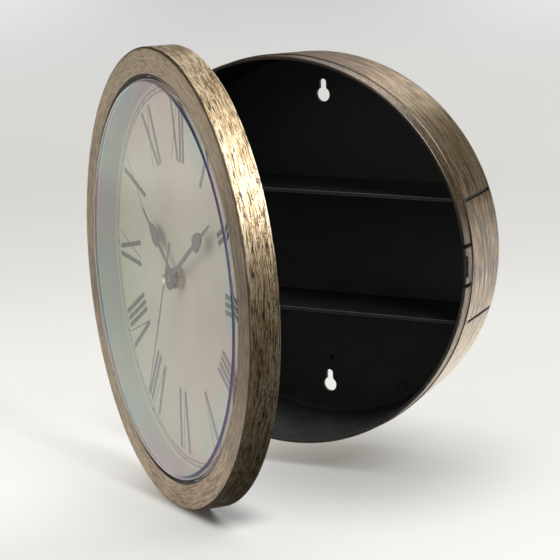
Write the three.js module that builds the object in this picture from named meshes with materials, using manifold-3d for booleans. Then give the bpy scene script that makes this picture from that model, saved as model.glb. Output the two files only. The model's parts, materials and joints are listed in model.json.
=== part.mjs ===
import * as THREE from 'three';
import { mergeVertices, toCreasedNormals } from 'three/addons/utils/BufferGeometryUtils.js';
import Module from 'manifold-3d';

// Clock diversion safe: a round wall clock whose face is the door of a shallow drum with two shelves.
// Millimetres. +Z is up, +X is the right-hand side seen from the front, and the front faces -Y.
// The origin is the middle of the drum's flat back face, which lies against the wall.

// Drum, a tapered moulding
const lipRadius = 113.9;
const lipBand = 9.7;
const lipStep = 0.5;
const drumDepth = 58;
const drumDraft = 3.0;
const wall = 2.0;
const backFillet = 3.2;
const edgeChamfer = 0.4;

// Snap tongue in the drum's lip
const tongueWidth = 20.0;
const tongueSlot = 2.4;
const tongueThinning = 0.6;
const snapBumpHeight = 1.2;
const snapBumpDepth = 1.3;
const snapBumpLength = 12;
const snapBumpInset = 0.7;

// Keyholes in the drum's back
const keyholeRadius = 4.3;
const keyholeNeck = 4.2;
const keyholeRise = 7.3;
const keyholePlace = 92.6;

// Shelves
const shelfHeight = 35;
const shelfThickness = 2.0;
const shelfRecess = 10.4;
const shelfTabThickness = 1.1;
const shelfTabInset = 4.6;
const shelfTabSink = 0.7;

// Bezel, a hollow ring moulding that overhangs the drum
const bezelOverhang = 13.6;
const bezelDepth = 16.75;
const bezelWall = 1.9;
const bezelEdge = 1.7;
const bezelRoll = 1.8;
const lipNest = 3.8;
const skirtWall = 1.5;
const skirtGap = 0.7;
const keeperWidth = 26;

// Hinge inside the bezel's channel, on the left
const hingeInset = 5.63;
const hingeSetback = 5.63;
const pinRadius = 1.1;
const pinGap = 0.2;
const eyeRadius = 2.6;
const armWidth = 5;
const armOffset = 6.5;
const earWidth = 3;
const earGap = 0.35;

// Dial, its pan, the lens and the fixing lugs
const dialDepth = 13.05;
const dialThickness = 0.4;
const panWall = 1.4;
const panGap = 0.9;
const lensRise = 1.4;
const lensSeat = 1.55;
const lensShoulder = 2.5;
const lensThickness = 1.2;
const lugSetback = 8.6;
const lugThickness = 1.5;
const lugReach = 4.4;
const lugWidth = 8;
const bossRadius = 2.8;
const screwRadius = 1.1;
const screwHeadRadius = 2.3;
const screwHeadHeight = 1.5;
const screwLength = 5.2;
const screwSlot = 0.6;

// Hands and the shafts that carry them
const hourHandLength = 56;
const minuteHandLength = 74.5;
const secondHandLength = 79;
const secondHandTail = 25;
const handThickness = 0.6;
const hourHubRadius = 5.8;
const minuteHubRadius = 6.3;
const stemWidth = 2.6;
const spadeWidth = 10;
const needleWidth = 1.2;
const needleThickness = 0.4;
const capRadius = 2.75;
const capHeight = 0.95;
const capStemRadius = 1.15;
const bushRadius = 3.9;
const hourTubeRadius = 2.7;
const minuteTubeRadius = 1.75;
const secondShaftRadius = 0.6;
const tubeStand = 0.4;
const bushFlange = 1.4;
const wheelRadius = 7.5;
const wheelThickness = 0.8;
const wheelPitch = 1.6;
const nutAcrossFlats = 11;
const nutThickness = 2.0;
const washerRadius = 6.4;
const washerThickness = 0.7;

// Quartz movement and its battery
const movementSide = 56;
const movementDepth = 15.6;
const movementWall = 1.2;
const movementCorner = 4;
const coverThickness = 1.2;
const coverLedge = 1.0;
const bayHeight = 15.2;
const batteryRadius = 7.1;
const batteryLength = 48.6;
const batteryNubRadius = 2.7;
const batteryNubLength = 1.3;
const contactThickness = 0.4;
const contactHeight = 9;
const knobRadius = 6;
const knobHeight = 3;
const knobFlute = 0.5;
const knobShaftRadius = 1.6;
const knobOffsetX = 12;
const knobOffsetZ = 9;

// Clearance between pieces that seat on one another, round a shaft, and the overrun of cuts
const seatGap = 0.3;
const fitGap = 0.2;
const overrun = 2;

// Angles at rest, in degrees. The door stands open and the hands show about nine and a half past ten.
const doorOpen = 38.9;
const hourAngle = 304.8;
const minuteAngle = 57.6;
const secondAngle = 205;
const lugAngles = [45, 135, 225, 315];

// Places of the hands in the room between dial and lens, as shares of it
const hourPlaneShare = 0.36;
const minutePlaneShare = 0.59;
const secondPlaneShare = 0.83;

// Where each spade starts, is widest and ends, as shares of its hand's length
const hourSpadeShares = [0.49, 0.6, 0.77];
const minuteSpadeShares = [0.62, 0.69, 0.81];

// Radii of the hour, minute and second wheels, as shares of the largest
const wheelShares = [1, 0.8, 0.6];

// Facets round a full turn
const roundSteps = 68;
const smallSteps = 18;
const cornerSteps = 4;

// Radii and depths that follow from the values above
const lipInner = lipRadius - wall;
const bodyRadius = lipRadius + lipStep;
const backRadius = bodyRadius - drumDraft;
const bandY = -(drumDepth - lipBand);
const shelfFrontY = -(drumDepth - shelfRecess);
const shelfBackY = -wall - seatGap;
const bezelRadius = lipRadius + bezelOverhang;
const panRadius = lipInner - panGap;
const apertureRadius = panRadius + seatGap;
const skirtInner = lipRadius + skirtGap;
const skirtOuter = skirtInner + skirtWall;
const doorRearY = -(drumDepth - lipNest);
const doorFrontY = doorRearY - bezelDepth;
const channelY = doorFrontY + bezelWall;
const skirtRearY = -drumDepth - seatGap;
const hingeX = -(bezelRadius - hingeInset);
const hingeY = doorFrontY + hingeSetback;
const dialY = doorFrontY + dialDepth;
const lensFrontY = doorFrontY - lensRise;
const lensRearY = doorFrontY + lensSeat;
const panRimY = lensRearY + seatGap;
const panFloorY = dialY + dialThickness + seatGap;
const panRearY = panFloorY + panWall;
const movementFrontY = panRearY + seatGap;
const movementRearY = movementFrontY + movementDepth;
const bayFloorY = movementFrontY + movementWall;
const lugY = doorFrontY + lugSetback;
const lugRadius = skirtOuter + lugReach;
const dialRoom = dialY - lensRearY;
const radians = Math.PI / 180;

const wasm = await Module();
wasm.setup();

// A closed geometry as a solid that can be joined and cut
function solid(geometry) {
  const bare = geometry.clone();
  bare.deleteAttribute('normal');
  bare.deleteAttribute('uv');
  const merged = mergeVertices(bare);
  const corners = merged.index.array;
  const kept = [];
  for (let i = 0; i < corners.length; i += 3) {
    const [a, b, c] = [corners[i], corners[i + 1], corners[i + 2]];
    if (a !== b && b !== c && c !== a) kept.push(a, b, c);
  }
  const vertProperties = Float32Array.from(merged.attributes.position.array);
  const triVerts = Uint32Array.from(kept);
  return new wasm.Manifold(new wasm.Mesh({ numProp: 3, vertProperties, triVerts }));
}

// The solid's surface as a geometry with smooth shading on its curves
function surface(body) {
  const mesh = body.getMesh();
  const geometry = new THREE.BufferGeometry();
  geometry.setAttribute('position', new THREE.BufferAttribute(mesh.vertProperties, 3));
  geometry.setIndex(new THREE.BufferAttribute(mesh.triVerts, 1));
  return toCreasedNormals(geometry, 35 * radians);
}

function joined(bodies) {
  return bodies.reduce((whole, body) => whole.add(body));
}

function cut(body, tools) {
  return tools.reduce((rest, tool) => rest.subtract(tool), body);
}

// Turned about the Y axis from [radius, y] points
function turned(points, steps = roundSteps) {
  return solid(new THREE.LatheGeometry(points.map(([r, y]) => new THREE.Vector2(r, y)), steps));
}

// Points of a quarter or other arc, as [radius, y] pairs
function arc(r, y, radius, from, to, steps = cornerSteps) {
  const points = [];
  for (let i = 0; i <= steps; i += 1) {
    const angle = (from + (to - from) * i / steps) * radians;
    points.push([r + radius * Math.cos(angle), y + radius * Math.sin(angle)]);
  }
  return points;
}

// A ring or disc between two depths
function ring(inner, outer, front, back, steps = smallSteps) {
  if (inner === 0) return turned([[0, front], [outer, front], [outer, back], [0, back]], steps);
  return turned([[inner, front], [outer, front], [outer, back], [inner, back], [inner, front]], steps);
}

// An outline drawn in x and z, seen from the front, with its thickness along Y
function plate(shape, front, back, steps = cornerSteps) {
  const geometry = new THREE.ExtrudeGeometry(shape, {
    depth: back - front, bevelEnabled: false, curveSegments: steps,
  });
  geometry.rotateX(Math.PI / 2);
  geometry.translate(0, back, 0);
  return solid(geometry);
}

// An outline drawn in x and y, seen from above, with its thickness along Z
function slab(shape, low, high) {
  const geometry = new THREE.ExtrudeGeometry(shape, {
    depth: high - low, bevelEnabled: false, curveSegments: smallSteps,
  });
  geometry.translate(0, 0, low);
  return solid(geometry);
}

function block(x0, x1, y0, y1, z0, z1) {
  const geometry = new THREE.BoxGeometry(x1 - x0, y1 - y0, z1 - z0);
  geometry.translate((x0 + x1) / 2, (y0 + y1) / 2, (z0 + z1) / 2);
  return solid(geometry);
}

function shapeFrom(points) {
  return new THREE.Shape(points.map(([a, b]) => new THREE.Vector2(a, b)));
}

function circle(x, y, radius) {
  return new THREE.Shape().absarc(x, y, radius, 0, 2 * Math.PI, false);
}

function roundedSquare(side, corner) {
  const half = side / 2;
  const shape = new THREE.Shape();
  shape.absarc(half - corner, half - corner, corner, 0, Math.PI / 2, false);
  shape.absarc(corner - half, half - corner, corner, Math.PI / 2, Math.PI, false);
  shape.absarc(corner - half, corner - half, corner, Math.PI, 1.5 * Math.PI, false);
  shape.absarc(half - corner, corner - half, corner, 1.5 * Math.PI, 2 * Math.PI, false);
  return shape;
}

// Outer and inner radius of the drum's tapered body at a depth
function drumOuter(y) {
  return backRadius + drumDraft * Math.min(1, y / bandY);
}

function drumInner(y) {
  return drumOuter(y) - wall - lipStep;
}

// Half the width of the drum's inside at a height and depth
function halfChord(radius, height) {
  return Math.sqrt(radius ** 2 - height ** 2);
}

// Wide entry below, narrow neck above, for a screw head in the wall
function keyhole(place) {
  const half = keyholeNeck / 2;
  const spread = Math.acos(half / keyholeRadius);
  const shape = new THREE.Shape();
  shape.absarc(0, place, keyholeRadius, Math.PI - spread, spread, false);
  shape.absarc(0, place + keyholeRise, half, 0, Math.PI, false);
  return plate(shape, -wall - overrun, overrun, smallSteps / 2);
}

// Swan-necked hinge arm that grows out of the lip's left edge and ends in an eye round the pin
function hingeArm(low, high) {
  const outerX = -(lipRadius - edgeChamfer);
  const innerX = -(panRadius + panGap / 2);
  const shape = shapeFrom([
    [hingeX, hingeY - eyeRadius],
    [innerX, hingeY - eyeRadius / 3],
    [innerX, bandY - lipStep],
    [outerX, bandY - lipStep],
    [outerX, hingeY + eyeRadius * 1.6],
    [hingeX, hingeY + eyeRadius],
  ]);
  const bore = slab(circle(hingeX, hingeY, pinRadius + pinGap), low - overrun, high + overrun);
  return slab(shape, low, high).add(slab(circle(hingeX, hingeY, eyeRadius), low, high)).subtract(bore);
}

// Drum: tapered side wall, flat back, stepped lip with a snap tongue on the right and hinge arms on the left
function drumShell() {
  const innerFillet = backFillet - wall / 2;
  const filletY = -wall - innerFillet;
  const innerBack = drumInner(filletY);
  const shell = turned([
    [0, -wall],
    ...arc(innerBack - innerFillet, filletY, innerFillet, 90, 0),
    [drumInner(bandY), bandY],
    [lipInner, bandY - lipStep],
    [lipInner, -drumDepth + edgeChamfer],
    [lipInner + edgeChamfer, -drumDepth],
    [lipRadius - edgeChamfer, -drumDepth],
    [lipRadius, -drumDepth + edgeChamfer],
    [lipRadius, bandY - lipStep],
    [bodyRadius, bandY],
    ...arc(backRadius - backFillet, -backFillet, backFillet, 0, 90),
    [0, 0],
  ]);
  const half = tongueWidth / 2;
  const slotReach = [lipInner - overrun * 2, lipRadius + overrun];
  const slots = [half, -half - tongueSlot].map((z) => block(
    ...slotReach, -drumDepth - overrun, bandY - lipStep, z, z + tongueSlot));
  const thinning = ring(lipInner - overrun, lipInner + tongueThinning, -drumDepth - overrun,
    bandY - lipStep, roundSteps)
    .intersect(block(0, lipRadius, -drumDepth - overrun, 0, -half - overrun / 2, half + overrun / 2));
  const bumpFront = -drumDepth + snapBumpInset;
  const bump = ring(lipRadius - wall / 2, lipRadius + snapBumpHeight, bumpFront,
    bumpFront + snapBumpDepth, roundSteps)
    .intersect(block(0, bezelRadius, -drumDepth, 0, -snapBumpLength / 2, snapBumpLength / 2));
  const arms = [-1, 1].map((side) => hingeArm(
    side * armOffset - armWidth / 2, side * armOffset + armWidth / 2));
  const windowInner = halfChord(innerBack, shelfHeight + shelfThickness) - overrun;
  const windows = [[-bodyRadius, -windowInner], [windowInner, bodyRadius]].flatMap(
    ([left, right]) => [shelfHeight, -shelfHeight].map((z) => block(left, right,
      shelfFrontY + shelfTabInset - seatGap, shelfBackY - shelfTabInset / 2 + seatGap,
      z - shelfTabThickness / 2 - seatGap, z + shelfTabThickness / 2 + seatGap)));
  const keyholes = [keyhole(keyholePlace - keyholeRise), keyhole(-keyholePlace)];
  return surface(cut(joined([cut(shell, [...slots, thinning]), bump, ...arms]), [...windows, ...keyholes]));
}

// Shelf board with a long, thinner tab each side, locked in the drum's wall
function shelf(height) {
  const low = Math.abs(height) + shelfThickness / 2;
  const tabFront = shelfFrontY + shelfTabInset;
  const tabBack = shelfBackY - shelfTabInset / 2;
  const side = (y) => halfChord(drumInner(y), low) - seatGap;
  const tab = (y) => halfChord(drumOuter(y), low) - shelfTabSink;
  const right = [
    [side(shelfFrontY), shelfFrontY],
    [side(tabBack), tabBack],
    [side(shelfBackY) - backFillet, shelfBackY],
  ];
  const left = right.map(([x, y]) => [-x, y]).reverse();
  const board = slab(shapeFrom([...right, ...left]), height - shelfThickness / 2, height + shelfThickness / 2);
  const tabs = [-1, 1].map((way) => slab(shapeFrom([
    [way * (side(tabFront) - overrun), tabFront],
    [way * tab(tabFront), tabFront],
    [way * tab(tabBack), tabBack],
    [way * (side(tabBack) - overrun), tabBack],
  ]), height - shelfTabThickness / 2, height + shelfTabThickness / 2));
  return surface(joined([board, ...tabs]));
}

// A lug, boss or notch modelled on the +X axis, turned to its place round the pan
function atLug(angle, body) {
  return body.rotate([0, angle, 0]);
}

// Bezel: hollow ring with rounded front edges, an inner skirt, hinge ears, screw bosses and the snap keeper
function bezelRing() {
  const rollY = doorFrontY + bezelRoll;
  const channelOuter = bezelRadius - bezelWall;
  const body = turned([
    ...arc(bezelRadius - bezelEdge, doorFrontY + bezelEdge, bezelEdge, -90, 0),
    [bezelRadius, doorRearY],
    [channelOuter, doorRearY],
    [channelOuter, channelY],
    [skirtOuter, channelY],
    [skirtOuter, skirtRearY],
    [skirtInner, skirtRearY],
    [skirtInner, channelY],
    [apertureRadius, channelY],
    ...arc(apertureRadius + bezelRoll, rollY, bezelRoll, 180, 270),
    [bezelRadius - bezelEdge, doorFrontY],
  ]);
  const earReach = armOffset + armWidth / 2 + earGap + earWidth;
  const hingeRoom = block(-skirtOuter - overrun, -apertureRadius - seatGap, channelY + seatGap,
    doorRearY + overrun, -earReach - overrun, earReach + overrun);
  const notches = lugAngles.map((angle) => atLug(angle, block(apertureRadius + seatGap, skirtOuter + seatGap,
    lugY - seatGap, doorRearY, -lugWidth / 2 - seatGap, lugWidth / 2 + seatGap)));
  const bosses = lugAngles.map((angle) => atLug(angle, boss()));
  const halfKeeper = keeperWidth / 2;
  const keeper = ring(skirtInner, skirtOuter, skirtRearY - overrun, doorRearY, roundSteps)
    .intersect(block(0, bezelRadius, skirtRearY - overrun, 0, -halfKeeper, halfKeeper));
  const windowFront = -drumDepth + snapBumpInset - seatGap * 1.5;
  const window = block(lipRadius, skirtOuter + overrun, windowFront,
    windowFront + snapBumpDepth + seatGap * 3, -snapBumpLength / 2 - seatGap * 2, snapBumpLength / 2 + seatGap * 2);
  const ears = hingeEars(channelOuter);
  const carved = cut(body, [hingeRoom, ...notches]);
  return surface(cut(joined([carved, keeper, ...bosses, ...ears]), [window]));
}

// Screw boss standing in the bezel's channel, with its pilot hole
function boss() {
  const top = lugY - seatGap;
  const post = slab(circle(0, 0, bossRadius), 0, top - channelY + overrun / 4);
  const hole = slab(circle(0, 0, screwRadius + seatGap), overrun / 4, top - channelY + overrun);
  return post.subtract(hole).rotate([-90, 0, 0]).translate([lugRadius, channelY - overrun / 4, 0]);
}

// The door's three hinge ears, one each side of each drum arm
function hingeEars(channelOuter) {
  const inner = armOffset - armWidth / 2 - earGap;
  const outer = armOffset + armWidth / 2 + earGap;
  const spans = [[-inner, inner], [outer, outer + earWidth], [-outer - earWidth, -outer]];
  return spans.map(([low, high]) => {
    const reach = -halfChord(channelOuter, Math.max(Math.abs(low), Math.abs(high))) - pinGap * 2;
    const root = slab(shapeFrom([
      [reach, channelY - pinGap],
      [hingeX + eyeRadius, channelY - pinGap],
      [hingeX + eyeRadius, hingeY],
      [hingeX, hingeY + eyeRadius],
      [reach, hingeY + eyeRadius],
    ]), low, high);
    const eye = slab(circle(hingeX, hingeY, eyeRadius), low, high);
    const bore = slab(circle(hingeX, hingeY, pinRadius + pinGap), low - overrun, high + overrun);
    return root.add(eye).subtract(bore);
  });
}

// Straight steel pin through all three ears and both arms
function hingePin() {
  const half = armOffset + armWidth / 2 + earGap + earWidth - seatGap;
  return surface(slab(circle(hingeX, hingeY, pinRadius), -half, half));
}

// Clear crystal that stands proud of the bezel: a flat front with a rounded shoulder and a short wall behind it
function lens() {
  const outer = apertureRadius - seatGap;
  const flat = outer - lensShoulder;
  const bendY = lensFrontY + lensShoulder;
  return surface(turned([
    [0, lensFrontY],
    ...arc(flat, bendY, lensShoulder, 270, 360, cornerSteps / 2),
    [outer, lensRearY],
    [outer - lensThickness, lensRearY],
    ...arc(flat, bendY, lensShoulder - lensThickness, 360, 270, cornerSteps / 2),
    [0, lensFrontY + lensThickness],
  ]));
}

// Pan that holds the dial, with a straight side wall up to the lens and four fixing lugs
function dialPan() {
  const bore = bushRadius + seatGap;
  const inner = panRadius - panWall;
  const cup = turned([
    [bore, panFloorY],
    [inner, panFloorY],
    [inner, panRimY],
    [panRadius, panRimY],
    [panRadius, panRearY],
    [bore, panRearY],
    [bore, panFloorY],
  ]);
  const lugs = lugAngles.map((angle) => atLug(angle, lug()));
  return surface(joined([cup, ...lugs]));
}

// One round-ended lug with its screw hole
function lug() {
  const root = panRadius - panWall / 2;
  const strip = block(root, lugRadius, lugY, lugY + lugThickness, -lugWidth / 2, lugWidth / 2);
  const end = ring(0, lugWidth / 2, lugY, lugY + lugThickness).translate([lugRadius, 0, 0]);
  const hole = ring(0, screwRadius + seatGap, lugY - overrun, lugY + overrun * 2).translate([lugRadius, 0, 0]);
  return strip.add(end).subtract(hole);
}

// Round-headed screw with a straight slot
function panScrew() {
  const seat = lugY + lugThickness + seatGap;
  const top = seat + screwHeadHeight;
  const dome = screwHeadHeight / 2;
  const body = turned([
    [0, seat - screwLength],
    [screwRadius, seat - screwLength + screwRadius],
    [screwRadius, seat],
    [screwHeadRadius, seat],
    [screwHeadRadius, seat + dome],
    [screwHeadRadius - dome, top],
    [0, top],
  ], smallSteps);
  const slot = block(-screwHeadRadius, screwHeadRadius, top - screwSlot, top + overrun,
    -screwSlot / 2, screwSlot / 2);
  return surface(body.subtract(slot).translate([lugRadius, 0, 0]));
}

// Printed card disc
function dialSheet() {
  return surface(ring(bushRadius + seatGap, panRadius - panWall - seatGap, dialY, dialY + dialThickness,
    roundSteps));
}

function dialWasher() {
  const back = dialY - seatGap;
  return surface(ring(bushRadius + seatGap, washerRadius, back - washerThickness, back));
}

function hexNut() {
  const back = dialY - seatGap * 2 - washerThickness;
  const corner = nutAcrossFlats / Math.sqrt(3);
  const points = [];
  for (let i = 0; i < 6; i += 1) {
    points.push([corner * Math.cos(i * Math.PI / 3), corner * Math.sin(i * Math.PI / 3)]);
  }
  const bore = ring(0, bushRadius + seatGap, back - nutThickness - overrun, back + overrun);
  return surface(plate(shapeFrom(points), back - nutThickness, back).subtract(bore));
}

// Depth of a hand's back face, from its share of the room between dial and lens
function handPlane(share) {
  return dialY - dialRoom * share;
}

// Spade hand: round hub, straight stem, a leaf-shaped spade and a long tapered tip
function spadeHand(length, hubRadius, bore, plane, [rootShare, bellyShare, neckShare]) {
  const half = stemWidth / 2;
  const shape = new THREE.Shape();
  shape.moveTo(-half, 0);
  shape.lineTo(half, 0);
  shape.lineTo(half, length * rootShare);
  shape.quadraticCurveTo(spadeWidth / 2, length * rootShare, spadeWidth / 2, length * bellyShare);
  shape.quadraticCurveTo(spadeWidth / 2 * bellyShare, length * neckShare, half * neckShare, length * neckShare);
  shape.lineTo(0, length);
  shape.lineTo(-half * neckShare, length * neckShare);
  shape.quadraticCurveTo(-spadeWidth / 2 * bellyShare, length * neckShare, -spadeWidth / 2, length * bellyShare);
  shape.quadraticCurveTo(-spadeWidth / 2, length * rootShare, -half, length * rootShare);
  shape.closePath();
  const front = plane - handThickness;
  const blade = plate(shape, front, plane);
  const hub = ring(0, hubRadius, front, plane);
  const hole = ring(0, bore, front - overrun, plane + overrun);
  return surface(blade.add(hub).subtract(hole));
}

// Needle with a long tapered tip and a paddle-shaped counterweight, riveted on the cap's stem
function secondHand() {
  const plane = handPlane(secondPlaneShare);
  const front = plane - needleThickness;
  const half = needleWidth / 2;
  const paddleShares = [0.5, 0.8, 1];
  const [neck, belly, end] = paddleShares.map((share) => -secondHandTail * share);
  const shape = shapeFrom([
    [half, 0], [half / 2, secondHandLength], [-half / 2, secondHandLength], [-half, 0],
    [-half, neck], [-needleWidth, belly], [-half, end], [half, end], [needleWidth, belly], [half, neck],
  ]);
  const eye = ring(0, capStemRadius + fitGap + needleWidth, front, plane);
  const hole = ring(0, capStemRadius + fitGap, front - overrun, plane + overrun);
  return surface(plate(shape, front, plane).add(eye).subtract(hole));
}

// Brass cap: a button in front of the needle and a stem that pushes on to the shaft
function secondCap() {
  const needleFront = handPlane(secondPlaneShare) - needleThickness;
  const back = needleFront - fitGap;
  const front = back - capHeight;
  const bore = secondShaftRadius + fitGap;
  const stemBack = handPlane(secondPlaneShare) + capHeight;
  return surface(turned([
    [0, front],
    [capRadius - capHeight / 3, front],
    [capRadius, front + capHeight / 2],
    [capRadius, back],
    [capStemRadius, back],
    [capStemRadius, stemBack],
    [bore, stemBack],
    [bore, back - capHeight / 4],
    [0, back - capHeight / 4],
  ], smallSteps));
}

// Threaded bush that clamps the movement to the dial, with a flange inside the movement's case
function threadedBush() {
  const bore = hourTubeRadius + fitGap;
  const front = dialY - seatGap * 2 - washerThickness - nutThickness - bushFlange / 2;
  const flangeFront = bayFloorY + seatGap;
  return surface(turned([
    [bushRadius, front],
    [bushRadius, flangeFront],
    [bushRadius + bushFlange, flangeFront],
    [bushRadius + bushFlange, flangeFront + bushFlange],
    [bore, flangeFront + bushFlange],
    [bore, front],
    [bushRadius, front],
  ], smallSteps));
}

// Tube or shaft that carries a hand, with the disc of its wheel inside the movement
function shaft(bore, radius, front, index) {
  const rim = wheelRadius * wheelShares[index];
  const wheelFront = wheelPlane(index);
  const back = wheelFront + wheelThickness;
  const profile = [
    [bore, front],
    [radius, front],
    [radius, wheelFront],
    [rim, wheelFront],
    [rim, back],
    [bore, back],
  ];
  return surface(turned(bore === 0 ? profile : [...profile, [bore, front]], smallSteps));
}

function hourTube() {
  const front = handPlane(hourPlaneShare) - handThickness - tubeStand;
  return shaft(minuteTubeRadius + fitGap, hourTubeRadius, front, 0);
}

function minuteTube() {
  const front = handPlane(minutePlaneShare) - handThickness - tubeStand;
  return shaft(secondShaftRadius + fitGap, minuteTubeRadius, front, 1);
}

function secondShaft() {
  const front = handPlane(secondPlaneShare) - needleThickness;
  return shaft(0, secondShaftRadius, front, 2);
}

// Front face of each wheel in the stack behind the bush's flange
function wheelPlane(index) {
  return bayFloorY + seatGap * 2 + bushFlange + index * (wheelThickness + wheelPitch);
}

// Movement case: a square box, open at the back, parted into a gear bay above and a battery bay below
function movementCase() {
  const side = movementSide - 2 * movementWall;
  const half = side / 2;
  const bayTop = bayHeight - half;
  const cavity = plate(roundedSquare(side, movementCorner - movementWall), bayFloorY, movementRearY + overrun);
  const ledge = plate(roundedSquare(side - 2 * coverLedge, movementCorner - movementWall), bayFloorY,
    movementRearY + overrun);
  const everywhere = [-movementSide, movementSide];
  const gearBay = ledge.intersect(block(...everywhere, bayFloorY, movementRearY,
    bayTop + movementWall + coverLedge, half));
  const coverSeat = cavity.intersect(block(...everywhere, movementRearY - coverThickness - seatGap,
    movementRearY + overrun, bayTop + movementWall, half));
  const batteryBay = cavity.intersect(block(...everywhere, bayFloorY, movementRearY + overrun, -half, bayTop));
  const bushHole = ring(0, bushRadius + seatGap, movementFrontY - overrun, bayFloorY + overrun);
  const box = plate(roundedSquare(movementSide, movementCorner), movementFrontY, movementRearY);
  return surface(cut(box, [gearBay, coverSeat, batteryBay, bushHole]));
}

// Plate that closes the gear bay and carries the set knob's shaft
function movementCover() {
  const side = movementSide - 2 * movementWall - 2 * seatGap;
  const low = bayHeight - (movementSide / 2 - movementWall) + movementWall + seatGap;
  const front = movementRearY - coverThickness;
  const full = plate(roundedSquare(side, movementCorner - movementWall), front, movementRearY);
  const kept = full.intersect(block(-movementSide, movementSide, front, movementRearY, low, movementSide));
  const hole = ring(0, knobShaftRadius + fitGap, front - overrun, movementRearY + overrun)
    .translate([knobOffsetX, 0, knobOffsetZ]);
  return surface(kept.subtract(hole));
}

// Fluted knob behind the cover, with its shaft and a stop collar inside
function setKnob() {
  const flutes = 16;
  const back = movementRearY + seatGap;
  const points = [];
  for (let i = 0; i < flutes * 4; i += 1) {
    const angle = i / (flutes * 4) * 2 * Math.PI;
    const radius = knobRadius - knobFlute / 2 * (1 + Math.cos(flutes * angle));
    points.push([radius * Math.cos(angle), radius * Math.sin(angle)]);
  }
  const innerFace = movementRearY - coverThickness - seatGap;
  const head = plate(shapeFrom(points), back, back + knobHeight);
  const stem = ring(0, knobShaftRadius, innerFace - knobHeight, back + knobHeight / 2);
  const collar = ring(0, knobShaftRadius + knobFlute * 2, innerFace - knobHeight, innerFace);
  return surface(joined([head, stem, collar]).translate([knobOffsetX, 0, knobOffsetZ]));
}

// Battery's axis in the bay
const bayHalf = movementSide / 2 - movementWall;
const batteryZ = -bayHalf + seatGap + batteryRadius;
const batteryY = bayFloorY + seatGap + batteryRadius;

// Single round cell lying across the movement, its raised contact to the right
function battery() {
  const tip = bayHalf - seatGap * 2 - contactThickness;
  const shoulder = tip - batteryNubLength;
  const end = shoulder - batteryLength;
  const round = contactThickness * 2;
  const can = turned([
    [0, end],
    [batteryRadius - round, end],
    [batteryRadius, end + round],
    [batteryRadius, shoulder - round],
    [batteryRadius - round, shoulder],
    [batteryNubRadius, shoulder],
    [batteryNubRadius, tip],
    [0, tip],
  ], smallSteps);
  return surface(can.rotate([0, 0, -90]).translate([0, batteryY, batteryZ]));
}

// Flat plate against the raised contact
function positiveContact() {
  const right = bayHalf - seatGap;
  return surface(block(right - contactThickness, right, batteryY - contactHeight / 2, batteryY + contactHeight / 2,
    batteryZ - contactHeight / 2, batteryZ + contactHeight / 2));
}

// Bowed leaf that presses on the flat end
function negativeContact() {
  const left = -bayHalf + seatGap;
  const end = bayHalf - seatGap * 3 - contactThickness - batteryNubLength - batteryLength;
  const half = contactHeight / 2;
  const bow = shapeFrom([
    [left, batteryY - half],
    [left + contactThickness, batteryY - half],
    [end, batteryY],
    [left + contactThickness, batteryY + half],
    [left, batteryY + half],
    [end - contactThickness, batteryY],
  ]);
  return surface(slab(bow, batteryZ - half, batteryZ + half));
}

const finishes = {
  brushedBronze: { color: 0x8f7d62, roughness: 0.45, metalness: 0.55 },
  blackPlastic: { color: 0x141414, roughness: 0.6, metalness: 0 },
  steel: { color: 0xb4b6b8, roughness: 0.35, metalness: 1 },
  brass: { color: 0xc79a5b, roughness: 0.3, metalness: 1 },
  clear: { color: 0xe9f0ee, roughness: 0.03, metalness: 0 },
  paleGrey: { color: 0xb9b6b0, roughness: 0.55, metalness: 0 },
  dialPaper: { color: 0xb7b1a4, roughness: 0.7, metalness: 0 },
  darkHand: { color: 0x3b3a38, roughness: 0.5, metalness: 0.2 },
  cell: { color: 0x2f6f4d, roughness: 0.4, metalness: 0.3 },
};

function piece(name, geometry, finish) {
  const mesh = new THREE.Mesh(geometry, new THREE.MeshStandardMaterial(finishes[finish]));
  mesh.name = name;
  return mesh;
}

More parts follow.
